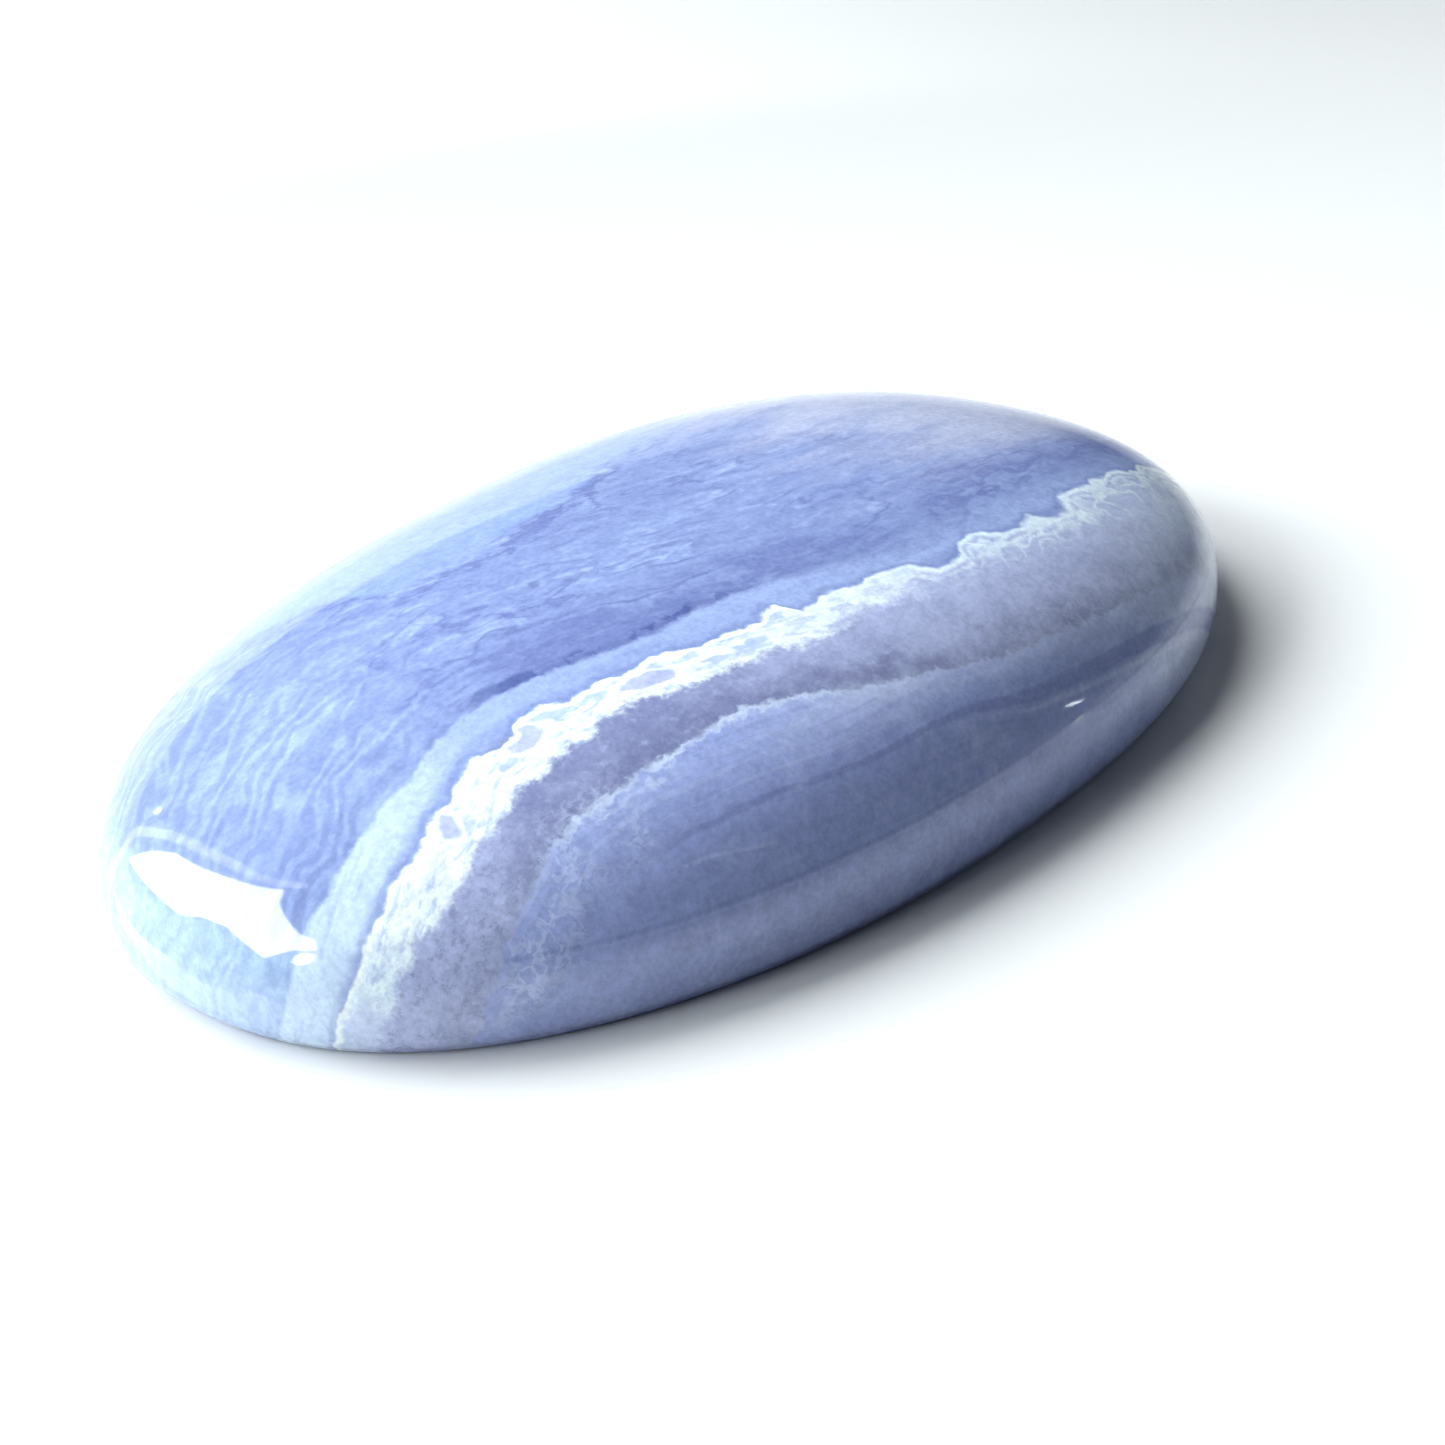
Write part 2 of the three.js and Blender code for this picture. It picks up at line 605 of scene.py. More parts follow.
# %% [markdown]
# All this only makes the blue lighter or darker. So it is added up to one tone first, and the tone
# picks the colour. A colour mixed in for each of them would turn the blue muddy.

# %% Blue field: tone and colour
MEAN_TONE = 0.52
FURROW_DEPTH = 0.72


def field_tone():
    """How pale the field is: below 0 it is deepest, above 1 palest."""
    central = agate.rise(x, -11.0, -8.0) * agate.rise(x, 2.0, -4.0)
    depth = agate.rise(layer, 6.0, 1.6) * (0.30 - field_left * 0.18 + central * 0.26)
    tone = MEAN_TONE - depth + painted_ripple_shading * (1.15 - field_left * 0.6) + streak * 0.6 + patches * 0.75
    return tone + fold_tone() - agate.maximum(long_furrow, short_furrow * 0.8) * FURROW_DEPTH


def far_flank(colour):
    """A few broad bands on the flank that lies beyond the crown."""
    bands = streaks((0.05, 0.50, 0.15)) + painted_ripple_shading * 0.3
    far_side = agate.rise(y + x * 0.2, 7.5, 10.0) * 0.7
    colour = agate.mix(agate.rise(bands, 0.0, 0.10) * far_side, colour, FIELD_MIDDLE)
    return agate.mix(agate.rise(bands, -0.03, -0.13) * far_side, colour, FIELD_ICE)


def blue_field():
    """The field's colour: deep beside the pale band, paler and greyer further off, and folded."""
    tone = field_tone()
    colour = agate.mix(agate.rise(tone, -0.1, 0.55), FIELD_DEEP, FIELD_MIDDLE)
    colour = agate.mix(agate.rise(tone, 0.45, 1.15), colour, FIELD_PALE)
    colour = agate.mix(field_left * 0.14, colour, FIELD_ICE)
    # Beyond the long furrow the field is calm and paler: partly its own zone, partly a painted reflection
    # of the bright strip behind the table.
    calm = agate.rise(beyond_furrow + streak * 1.2, 0.1, 0.9) * (0.80 + streak * 1.5)
    colour = agate.mix(calm, colour, FAR_PALE_AND_PAINTED_REFLECTION)
    lilac = agate.rise(x + streak * 24, 2.0, 12.0) * agate.rise(layer, 2.0, 5.0)
    colour = far_flank(agate.mix(lilac * 0.85, colour, FIELD_LILAC))
    # Below the highlight at the left end the flank turns ice blue: partly the stone's pale layers, partly a
    # painted reflection of the bright table.
    pale_flank_and_painted_reflection = agate.rise(x + waver * 2, -14.8, -16.8) * agate.rise(z, 3.7, 2.6)
    return agate.mix(pale_flank_and_painted_reflection * (0.72 + broad_folds * 0.12), colour, FIELD_ICE)


field = blue_field()
print("blue field:", len(chalcedony.node_tree.nodes), "nodes so far")

# %% [markdown]
# ## The pale band
#
# Between the field and the lace lies a calm pale-blue band about 1.5 millimetres wide. Its upper
# edge is crisp at the left end, has small dark pits along it in the middle and fades out softly at
# the right. Its lower edge ends in deeper blue, which makes the white lace beside it look brighter.

# %% Pale band
PALE_BLUE = (0.345, 0.440, 0.735)
PALE_LEFT = (0.580, 0.710, 0.900)
PALE_SHADE = (0.280, 0.360, 0.670)
PIT_NAVY = (0.080, 0.110, 0.310)
PALE_TOP = [
    (-20.0, 2.3), (-17.7, 1.92), (-16.0, 1.6), (-14.8, 1.46), (-13.1, 1.35), (-10.0, 1.42),
    (-8.1, 1.28), (-6.3, 1.37), (-4.1, 1.74), (-2.2, 1.68), (0.0, 1.48), (4.0, 1.3), (20.0, 1.1),
]


def dark_pits(above):
    """Small dark pits just above the band's upper edge, in the middle part of the stone."""
    pits = agate.rise(agate.cloud(agate.bent(position, 1.4, 0.6), 1.5, detail=3.0), -0.03, 0.07)
    row = agate.rise(abs(above - 0.22) / (0.35 + pits * 0.65), 0.42, 0.12)
    middle = agate.rise(x, -12.5, -10.0) * agate.rise(x, -2.0, -5.0)
    return row * (0.30 + pits * 0.70) * middle


def pale_band(under):
    """Lays the pale band over the field."""
    rough = agate.cloud(position, 1.7, detail=3.0, roughness=0.6)
    above = layer - curve_of(PALE_TOP) + rough * 0.5
    softness = agate.rise(x, -5.0, 5.0) * 0.9 + 0.12
    share = agate.rise(above / softness, 1.0, -1.0)
    bands = agate.cloud(agate.stretched(flow, (0.12, 1.6, 0.4)), 1.0, detail=3.0)
    calm = agate.mix(agate.rise(x + rough * 4, -11.5, -17.0), PALE_BLUE, PALE_LEFT)
    calm = agate.mix(agate.rise(bands, 0.02, 0.22) * 0.55, calm, PALE_SHADE)
    calm = agate.mix(agate.rise(layer + rough * 0.3, 0.62, 0.15) * 0.75, calm, PALE_SHADE)
    pitted = agate.mix(dark_pits(above) * 0.85, under, PIT_NAVY)
    return agate.mix(share * 0.95, pitted, calm)


banded = pale_band(field)
print("pale band with", len(PALE_TOP), "points on its upper edge")

# %% [markdown]
# ## The white lace
#
# The band that gives the stone its trade name is opaque white chalcedony. Its upper edge is a row of
# small rounded lobes, each drawn with a bright line. Under that line there are thin grey-blue gaps,
# a few lavender islands with white rims, then solid white and at last a speckled lower edge.

# %% White lace: colours and edges
WHITE = (0.850, 0.930, 0.985)
BLUE_WHITE = (0.755, 0.880, 1.000)
MIST = (0.470, 0.540, 0.800)
LAVENDER = (0.450, 0.500, 0.760)
GAP_BLUE = (0.440, 0.560, 0.820)
FOOT_MIST = (0.520, 0.600, 0.850)
EDGE_BLUE = (0.220, 0.290, 0.570)
LACE_TOP = [
    (-20.0, 0.3), (-16.8, 0.11), (-15.4, -0.10), (-13.3, -0.02), (-12.0, -0.30), (-11.2, 0.12),
    (-8.8, -0.05), (-7.2, 0.25), (-4.4, 0.22), (-3.4, 0.75), (-2.9, -0.05), (-1.6, 0.50),
    (1.1, 0.32), (2.5, -0.06), (3.3, 0.52), (4.3, 0.39), (6.0, 0.06), (7.8, -0.05), (9.0, 0.56),
    (12.2, 0.60), (14.2, 0.35), (20.0, 0.2),
]
LACE_LOW = [
    (-20.0, -1.2), (-17.2, -1.28), (-16.1, -1.85), (-14.4, -1.81), (-13.5, -2.0), (-10.8, -1.9),
    (-9.0, -1.36), (-7.3, -1.5), (-5.4, -1.28), (-3.5, -1.55), (-1.8, -0.93), (1.9, -1.01),
    (4.7, -1.31), (20.0, -1.0),
]
ISLANDS = [
    {"middle": -11.7, "level": -0.62, "half_length": 0.62, "half_width": 0.42},
    {"middle": -8.1, "level": -0.62, "half_length": 0.80, "half_width": 0.34},
    {"middle": -14.9, "level": -0.55, "half_length": 0.28, "half_width": 0.50},
]
print("lace edges through", len(LACE_TOP), "and", len(LACE_LOW), "points")

# %% [markdown]
# To draw each lobe by hand would take hundreds of points. A cell pattern gives them all: adding the
# distance from the nearest cell's middle to the layer number makes the edge bulge at every cell.

# %% White lace: lobes and islands
CELL_MIDDLE = 0.48
BIG_LOBES_PER_MM = 0.80
SMALL_LOBES_PER_MM = 2.0
SMALL_LOBES_SHIFT = 7.0

lace_right = agate.rise(x + waver * 8, -5.0, 4.0)
shore_waver = agate.cloud(position, 2.0) * 0.9


def lobes(per_mm, size, shift=0.0):
    """A bulge at every cell of a bent cell pattern."""
    place = agate.vectors("ADD", position, (shift, 0.0, 0.0))
    return (agate.cells(agate.bent(place, 1.3, 0.5), per_mm) - CELL_MIDDLE) * size


def from_island(middle, level, half_length, half_width):
    """1 on the ragged shore of one island in the layers, less inside it and more outside."""
    place = agate.vector((x - middle) / half_length, (layer - level) / half_width, 0.0)
    return agate.length(place) + shore_waver


curl = agate.cloud(agate.bent(position, 1.4, 1.2), 1.6, detail=3.0) * (0.45 - lace_right * 0.2)
big_lobes = lobes(BIG_LOBES_PER_MM, 0.36 + lace_right * 0.40)
small_lobes = lobes(SMALL_LOBES_PER_MM, 0.30 - lace_right * 0.15, SMALL_LOBES_SHIFT)
lace_edge = layer - curve_of(LACE_TOP) + curl + big_lobes + small_lobes
print("lobes:", BIG_LOBES_PER_MM, "and", SMALL_LOBES_PER_MM, "to the millimetre;", len(ISLANDS), "islands")

# %% [markdown]
# The gaps and the second line are simply further steps of the same bulging number, so they follow
# every lobe. Towards the right end the lobes grow and the white turns to loose curls on a misty
# grey, until only the outlines are left.

# %% White lace: fill and outline
def gaps_under_edge():
    """Lens-shaped gaps below the bright upper edge, fewer of them near the left end."""
    lenses = agate.cloud(agate.bent(agate.stretched(flow, (0.8, 1.6, 1.0)), 1.5, 0.5), 1.1)
    zone = agate.rise(lace_edge, -1.25, -0.85) * agate.rise(lace_edge, -0.16, -0.34) * (1 - lace_right)
    return agate.rise(lenses, 0.00, 0.08) * zone * (1 - agate.rise(x, -13.5, -15.0) * 0.7)


def lace_fill():
    """What lies inside the lace's outline: white, with gaps, islands and, to the right, mist."""
    low_foot = agate.rise(x, -12.0, -15.0) * agate.rise(z, 4.0, 2.2)
    bright = agate.mix(agate.maximum(lace_right, low_foot), WHITE, BLUE_WHITE)
    curled = agate.bent(agate.stretched(flow, (0.6, 1.3, 0.8)), 1.1, 0.9)
    fluff = agate.cloud(curled, 1.3, detail=4.0, roughness=0.6)
    cover = agate.rise(fluff + 0.20 - lace_right * 0.32, -0.10, 0.12)
    fill = agate.mix(cover, MIST, bright)
    fill = agate.mix(gaps_under_edge() * 0.85, fill, GAP_BLUE)
    mottle = agate.rise(agate.cloud(curled, 2.0, detail=4.0, roughness=0.6), 0.0, 0.16)
    fill = agate.mix(mottle * (0.72 - lace_right * 0.5), fill, GAP_BLUE)
    contour = agate.cloud(agate.bent(position, 1.0, 1.1), 0.95, detail=1.0)
    fill = agate.mix(agate.line(contour, -0.02, 0.085) * lace_right, fill, BLUE_WHITE)
    low_mist = agate.rise(x + fluff * 2, -14.5, -16.0) * agate.rise(z + fluff * 2, 2.2, 1.2)
    fill = agate.mix(low_mist * 0.75, fill, FOOT_MIST)
    for island in ISLANDS:
        shore = from_island(**island)
        fill = agate.mix(agate.rise(shore, 1.0, 0.75) * 0.85, fill, LAVENDER)
        fill = agate.mix(agate.line(shore, 1.15, 0.28), fill, bright)
    return fill


def white_lace(under):
    """Lays the lace band over what is there: a dark line above it, the body, and bright outlines."""
    ragged = agate.cloud(position, 1.5, detail=4.0, roughness=0.65)
    above_low = layer - curve_of(LACE_LOW) + ragged * 1.2
    lower = agate.rise(above_low / (0.26 + lace_right * 0.8), -0.6, 1.0)
    body = agate.rise(lace_edge, 0.0, -0.08) * lower
    shadow = agate.line(lace_edge, 0.14, 0.24) * agate.rise(x, -19.0, -15.5)
    colour = agate.mix(shadow * 0.6, under, EDGE_BLUE)
    colour = agate.mix(body * (1 - lace_right * 0.15), colour, lace_fill())
    second = agate.line(lace_edge, -0.60, 0.26) * lower * lace_right * agate.rise(ragged, -0.14, 0.02)
    first = agate.line(lace_edge, -0.13, 0.20 + lace_right * 0.08)
    outlines = agate.maximum(second * 0.8, first)
    return agate.mix(outlines, colour, agate.mix(lace_right, WHITE, BLUE_WHITE))


print("the lace is laid last, over the zones beside it")

# %% [markdown]
# ## Grey-violet, the fine vein and the slate-blue front
#
# In front of the lace the stone turns grey-violet, and beyond a second, hair-fine white vein it is
# slate blue. Such marks could be painted on by hand, but only marks that are worked out from the
# layers follow them round the wall, so every one is a step or a line of the layer number, roughened
# by noise.

# %% Front zones: colours and paths
MAUVE_LIGHT = (0.470, 0.525, 0.790)
MAUVE_DEEP = (0.240, 0.270, 0.480)
MAUVE_DARK = (0.210, 0.235, 0.430)
MAUVE_TONE = [
    (-20.0, 0.95), (-17.0, 0.80), (-14.0, 0.38), (-12.0, 0.10), (-8.0, 0.25), (-5.0, 0.5),
    (-2.0, 0.75), (2.0, 0.95), (8.0, 1.1), (20.0, 1.2),
]
SLATE = (0.370, 0.450, 0.800)
SLATE_DARK = (0.325, 0.390, 0.720)
SLATE_PALE = (0.540, 0.620, 0.900)
SLATE_NAVY = (0.245, 0.300, 0.600)
VEIN_BLUE = (0.620, 0.720, 0.950)
PAINTED_LIGHT_END = (0.680, 0.780, 1.000)
PAINTED_REFLECTION_GREY = (0.400, 0.455, 0.800)
GRANULE = (0.290, 0.330, 0.560)
VEIN_PATH = [
    (-20.0, -4.3), (-16.0, -3.9), (-14.2, -3.7), (-12.2, -3.85), (-10.6, -3.73), (-8.4, -3.36),
    (-6.8, -3.17), (-5.6, -3.35), (-4.0, -3.80), (-2.0, -4.10), (0.5, -4.18), (6.0, -4.25),
    (20.0, -4.2),
]
STREAK_PATH = [
    (-20.0, -6.1), (-11.0, -6.07), (-6.0, -6.0), (-3.5, -5.75), (-1.0, -5.5), (3.0, -5.3),
    (9.0, -5.24), (20.0, -5.2),
]
print("vein and dark streak through", len(VEIN_PATH), "and", len(STREAK_PATH), "points")

# %% [markdown]
# The grey-violet is mottled and darkest beside the vein. It is full of dark specks near the left
# end and pales towards the right, where the right end is painted paler as painted light. A curve
# gives its mean tone along the stone.

# %% Grey-violet
knots = agate.cloud(position, 1.6, detail=3.0, roughness=0.6)
fine_knots = agate.cloud(position, 3.6)
above_vein = layer - curve_of(VEIN_PATH) + knots * 0.8 + fine_knots * 0.45
front_left = agate.rise(x + waver * 4, -12.5, -15.5)


def violet_zone():
    """Grey-violet, darkest just above the vein, with mottling, and specks near the left end."""
    blotch = agate.cloud(position, 0.8, detail=3.0)
    colour = agate.mix(agate.rise(curve_of(MAUVE_TONE) + blotch * 0.9, 0.0, 1.0), MAUVE_DEEP, MAUVE_LIGHT)
    middle = agate.rise(x, -14.5, -9.0) * (1 - agate.rise(x, -4.0, 3.0) * 0.55)
    dark = agate.rise(above_vein + blotch * 2.0, 1.4, 0.1) * middle
    colour = agate.mix(dark * 0.8, colour, MAUVE_DARK)
    grain = agate.cloud(position, 2.6, detail=4.0, roughness=0.7)
    colour = agate.mix(agate.rise(grain, 0.0, 0.22) * 0.30, colour, SLATE_PALE)
    granular = agate.cloud(position, 3.4, detail=4.0, roughness=0.75)
    colour = agate.mix(agate.rise(granular, 0.0, -0.14) * (0.15 + front_left * 0.60), colour, GRANULE)
    colour = agate.mix(agate.rise(granular, 0.04, 0.16) * front_left * 0.45, colour, SLATE_PALE)
    # Painted light: the right end is painted paler to stand in for light that falls on that end.
    return agate.mix(agate.rise(x + blotch * 6, 5.0, 14.0) * 0.90, colour, PAINTED_LIGHT_END)


violet = violet_zone()
print("grey-violet:", len(chalcedony.node_tree.nodes), "nodes so far")

# %% [markdown]
# Long soft streaks run with the layers along the slate-blue front wall, one of them thin and dark.
# The right end is painted paler, as painted light, and the foot of the wall carries a painted
# reflection of the table: a paler band under a thin dark and pale line.

# %% Slate blue
PAINTED_REFLECTION_TOP = 2.46
PAINTED_REFLECTION_DARK_LINE = {"centre": 2.53, "half_width": 0.11}
PAINTED_REFLECTION_PALE_LINE = {"centre": 2.40, "half_width": 0.07}

from_streak = layer - curve_of(STREAK_PATH)
wall_rough = agate.cloud(position, 1.1, detail=4.0, roughness=0.65)


def long_streaks():
    """Slate blue with long streaks of darker and paler blue."""
    lengthwise = agate.vector(along, from_streak, deep)
    long = agate.cloud(agate.stretched(lengthwise, (0.06, 0.9, 0.15)), 1.0, detail=5.0, roughness=0.6)
    thin = agate.cloud(agate.stretched(lengthwise, (0.07, 2.4, 0.3)), 1.0, detail=3.0)
    colour = agate.mix(agate.rise(long, -0.22, 0.10), SLATE_DARK, SLATE)
    pale = agate.rise(from_streak + wall_rough, 0.2, 1.2) * agate.rise(x, -9.0, -4.0)
    colour = agate.mix(pale * 0.5, colour, SLATE_PALE)
    colour = agate.mix(agate.rise(thin, -0.04, -0.16) * 0.65, colour, SLATE_DARK)
    colour = agate.mix(agate.rise(thin, 0.10, 0.20) * 0.35, colour, SLATE_PALE)
    deeper = agate.line(from_streak + long * 1.5, -1.35, 0.75) * agate.rise(x, -12.0, -7.0)
    return agate.mix(deeper * 0.2, colour, SLATE_DARK)


def dark_streak(colour):
    """The thin dark streak with the pale line under its right half, and where it is dark."""
    right = agate.rise(x, -4.0, 3.0)
    gap = from_streak + wall_rough * 0.12 + 0.02
    low_edge = gap + right * 0.26
    dark = agate.rise(gap, 0.14, 0.02) * agate.rise(low_edge, -0.20, -0.08) * agate.rise(x, -12.5, -10.0)
    colour = agate.mix(agate.line(low_edge, -0.32, 0.14) * right * 0.5, colour, VEIN_BLUE)
    return agate.mix(dark * (0.75 - right * 0.15), colour, SLATE_NAVY), dark


def pale_marks(colour):
    """A short slanting pale line at the left, and soft pale wisps all over."""
    slant = from_streak + (x + 11.6) * 0.24 + wall_rough * 0.25
    reach = agate.rise(x, -12.4, -11.4) * agate.rise(x, -8.2, -9.4)
    slanting = agate.line(slant, -0.70, 0.11) * reach * agate.rise(wall_rough, -0.10, 0.08)
    colour = agate.mix(slanting * 0.38, colour, VEIN_BLUE)
    wisps = agate.bent(agate.stretched(position, (0.9, 0.9, 0.6)), 0.8, 1.0)
    wisps = agate.rise(agate.cloud(wisps, 1.3, detail=4.0, roughness=0.65), 0.02, 0.26)
    return agate.mix(wisps * 0.30, colour, VEIN_BLUE)


def painted_table_reflection(colour):
    """Painted reflection of the table on the foot of the front wall: a paler band below a thin dark and a
    pale line.
    """
    front_side = agate.rise(y, -6.0, -8.0)
    level = z + wall_rough * 0.06
    # The two lines and the paler band below them are painted reflection of the table's edge, not the
    # stone's colour.
    colour = agate.mix(agate.line(level, **PAINTED_REFLECTION_DARK_LINE) * front_side * 0.50, colour, SLATE_NAVY)
    colour = agate.mix(agate.line(level, **PAINTED_REFLECTION_PALE_LINE) * front_side * 0.25, colour, SLATE_PALE)
    return agate.mix(agate.rise(level, PAINTED_REFLECTION_TOP, PAINTED_REFLECTION_TOP - 0.04) * front_side * 0.20, colour, PAINTED_REFLECTION_GREY)


def slate_zone():
    """The slate-blue zone, painted paler at the right end as painted light, with the painted table
    reflection at its foot.
    """
    colour, dark = dark_streak(long_streaks())
    # Painted light: the right end is painted paler, less so on the dark streak.
    painted_end_light = agate.rise(x + wall_rough * 6, 2.0, 12.0) * (0.90 - dark * 0.70)
    return painted_table_reflection(agate.mix(painted_end_light, pale_marks(colour), PAINTED_LIGHT_END))


slate = slate_zone()
print("slate blue with its foot below", PAINTED_REFLECTION_TOP, "mm")

# %% [markdown]
# The vein is knotty and bright in the left half, smears into a pale haze in the middle and breaks
# into a faint net at the right. Near the left end a frost of fine pale threads spreads out. Threads
# are the places where a bent noise is close to 0, because those lie on long thin lines.

# %% White vein, frost and net
def white_vein(colour):
    """The knotty vein with a short branch, the pale stone below it and the haze in its middle."""
    below = agate.rise(above_vein, -1.0, 0.0) * agate.rise(above_vein, 0.1, 0.0) * agate.rise(x, -7.0, -4.0)
    colour = agate.mix(below * 0.4, colour, SLATE_PALE)
    haze = agate.line(above_vein, -0.1, 0.8) * agate.line(x, -3.6, 2.6) * agate.rise(knots, -0.15, 0.1)
    colour = agate.mix(haze * 0.5, colour, VEIN_BLUE)
    strength = (1 - front_left) * (agate.rise(x, -3.0, -6.0) * 0.78 + 0.22)
    beads = 0.16 + agate.rise(fine_knots, -0.05, 0.2) * 0.16
    vein = agate.line(above_vein, 0.0, beads) * agate.rise(agate.cloud(position, 0.9), -0.22, 0.0)
    branch = agate.line(above_vein, -0.46, 0.14) * agate.rise(agate.cloud(position, 0.7), 0.0, 0.10)
    return agate.mix(agate.maximum(vein, branch * 0.7) * strength, colour, VEIN_BLUE)


def frost_and_net(colour):
    """A frost of pale threads near the left end, and a faint net with dark patches at the right."""
    bent_place = agate.bent(position, 1.6, 0.7)
    threads = agate.rise(abs(agate.cloud(bent_place, 1.8, detail=3.0, roughness=0.55)), 0.07, 0.01)
    frost = agate.rise(agate.cloud(bent_place, 2.3, detail=4.0, roughness=0.70), 0.00, 0.12)
    frost = agate.maximum(frost * 0.8, threads) * agate.rise(agate.cloud(position, 0.6), -0.12, 0.08)
    left_part = agate.rise(x + waver * 4, -10.5, -12.5) * agate.line(above_vein, -0.7, 2.2)
    colour = agate.mix(frost * left_part * 0.62, colour, VEIN_BLUE)
    right_part = agate.rise(x, 0.0, 3.0) * agate.line(above_vein, 0.5, 1.4) * 0.26
    dark_patches = agate.rise(agate.cloud(bent_place, 0.45, detail=3.0), 0.0, 0.12) * right_part
    colour = agate.mix(dark_patches * 1.2, colour, MAUVE_DARK)
    return agate.mix(threads * right_part, colour, VEIN_BLUE)


front = agate.mix(agate.rise(above_vein, 0.1, -0.1), violet, slate)
front = frost_and_net(white_vein(front))
base = agate.mix(agate.rise(layer, -0.35, 0.0), front, banded)
base = white_lace(base)
print("all bands:", len(chalcedony.node_tree.nodes), "nodes")

# %% [markdown]
# ## Polish and translucency
#
# Chalcedony takes a glassy polish, so the surface reflects sharply everywhere. The stone itself is
# cloudy: light enters, scatters for a millimetre or two and comes out again, which softens the
# shadows and makes the blue glow. Full transmission would look like glass, so a constant share of
# subsurface scattering is used. Fine grain in the colour keeps the flat areas alive.

# %% Polish
ROUGHNESS = 0.06
WEAR = 0.05
REFRACTION = 1.54
SCATTER_SHARE = 0.30
SCATTER_DEPTH = 1.0 * MM
SCATTER_TINT = (1.1, 1.0, 0.9)
GRAIN_DARK = (0.83, 0.84, 0.87)
GRAIN_LIGHT = (1.15, 1.14, 1.10)


def grained(colour):
    """Fine mottling: multiplies the colour by a tint between the dark and the light grain."""
    fine = agate.cloud(position, 6.0, detail=4.0, roughness=0.7)
    soft = agate.cloud(position, 1.9, detail=3.0, roughness=0.6)
    tint = agate.mix(agate.rise(fine + soft * 0.6, -0.30, 0.30), GRAIN_DARK, GRAIN_LIGHT)
    settings = {"data_type": "RGBA", "blend_type": "MULTIPLY"}
    return agate.add("ShaderNodeMix", settings, {0: 1.0, 6: colour, 7: tint}, output=2)


def polish(colour):
    """The shader that takes the colour to the material's output."""
    wear = agate.cloud(position, 0.8, detail=3.0) * WEAR
    values = {
        "Base Color": grained(colour),
        "Roughness": ROUGHNESS + wear,
        "IOR": REFRACTION,
        "Subsurface Weight": SCATTER_SHARE,
        "Subsurface Radius": SCATTER_TINT,
        "Subsurface Scale": SCATTER_DEPTH,
    }
    shader = agate.add("ShaderNodeBsdfPrincipled", {"subsurface_method": "RANDOM_WALK"}, values)
    agate.add("ShaderNodeOutputMaterial", {}, {"Surface": shader})


polish(base)
mesh.materials.append(chalcedony)
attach(stone, "root")
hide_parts("cabochon")
print("finish:", len(chalcedony.node_tree.nodes), "nodes")

# %% [markdown]
# ## Table top and light
#
# The stone lies on a glossy white table top, so its dark foot is mirrored in the shadow beside it.
# A tiled or rounded backdrop would show an edge, so the table is one plain sheet, much larger than
# the view.

# %% Table top
TABLE_SIZE = 4.0
TABLE_WHITE = (0.770, 0.777, 0.780)
TABLE_ROUGHNESS = 0.06
TABLE_REFRACTION = 1.5


def one_shader(name, kind, values):
    """A finish made of one shader node."""
    finish, nodes = make_finish(name)
    nodes.add("ShaderNodeOutputMaterial", {}, {"Surface": nodes.add(kind, {}, values)})
    return finish


def stage_sheet(name, corners, finish):
    """A flat sheet that belongs to the stage and not to the stone."""
    sheet = bpy.data.meshes.new(name)
    sheet.from_pydata(corners, [], [tuple(range(len(corners)))])
    sheet.materials.append(finish)
    piece = bpy.data.objects.new(name, sheet)
    bpy.context.scene.collection.objects.link(piece)
    return piece


reach = TABLE_SIZE / 2
corners = [(-reach, -reach, 0), (reach, -reach, 0), (reach, reach, 0), (-reach, reach, 0)]
values = {"Base Color": opaque(TABLE_WHITE), "Roughness": TABLE_ROUGHNESS, "IOR": TABLE_REFRACTION}
stage_sheet("table_top", corners, one_shader("table_white", "ShaderNodeBsdfPrincipled", values))
print("table top:", TABLE_SIZE, "m across")

# %% [markdown]
# One broad light stands where the window would be, behind the left end, and makes the long highlight
# on its shoulder. A fainter strip beside it is the window's frame, and two small lamps make the two
# separate glints. Glowing panels are used because their outlines set the shape of each highlight.

# %% Window and lamps
WINDOW_AZIMUTH = math.radians(225)
WINDOW_ELEVATION = math.radians(31)
WINDOW_DISTANCE = 0.5
WINDOW_GLOW = 12.9
WINDOW_COLOUR = (0.93, 0.98, 1.0)
GLINT_AZIMUTH = math.radians(48)
GLINT_ELEVATION = math.radians(6)
GLINT_OUTLINE = [(-0.024, 0.030), (-0.014, 0.016), (0.010, -0.050), (0.002, -0.050), (-0.016, -0.020)]
WINDOW_OUTLINE = [
    (-0.62, -0.37), (-0.50, -0.13), (-0.40, 0.02), (-0.30, 0.08), (-0.22, 0.15), (-0.11, 0.24),
    (-0.02, 0.35), (0.08, 0.28), (0.23, 0.24), (0.40, 0.20), (0.53, 0.22), (0.65, 0.13),
    (0.53, 0.02), (0.47, -0.22), (0.30, -0.15), (0.10, -0.09), (-0.03, -0.15), (-0.09, -0.26),
    (-0.21, -0.26), (-0.37, -0.30), (-0.50, -0.33),
]
GAP_OUTLINE = [(0.65, -0.15), (0.60, -0.02), (0.62, 0.05), (0.70, 0.08), (0.77, -0.06), (0.74, -0.16)]
FRAME_OUTLINE = [
    (-0.79, -0.25), (-0.66, -0.10), (-0.55, 0.03), (-0.46, 0.12), (-0.33, 0.22), (-0.18, 0.30),
    (-0.09, 0.37), (-0.03, 0.46), (0.02, 0.45), (-0.04, 0.35), (-0.13, 0.27), (-0.28, 0.18),
    (-0.42, 0.08), (-0.50, 0.00), (-0.61, -0.13), (-0.71, -0.26), (-0.72, -0.50), (-0.80, -0.75),
    (-0.86, -0.72), (-0.80, -0.45),
]
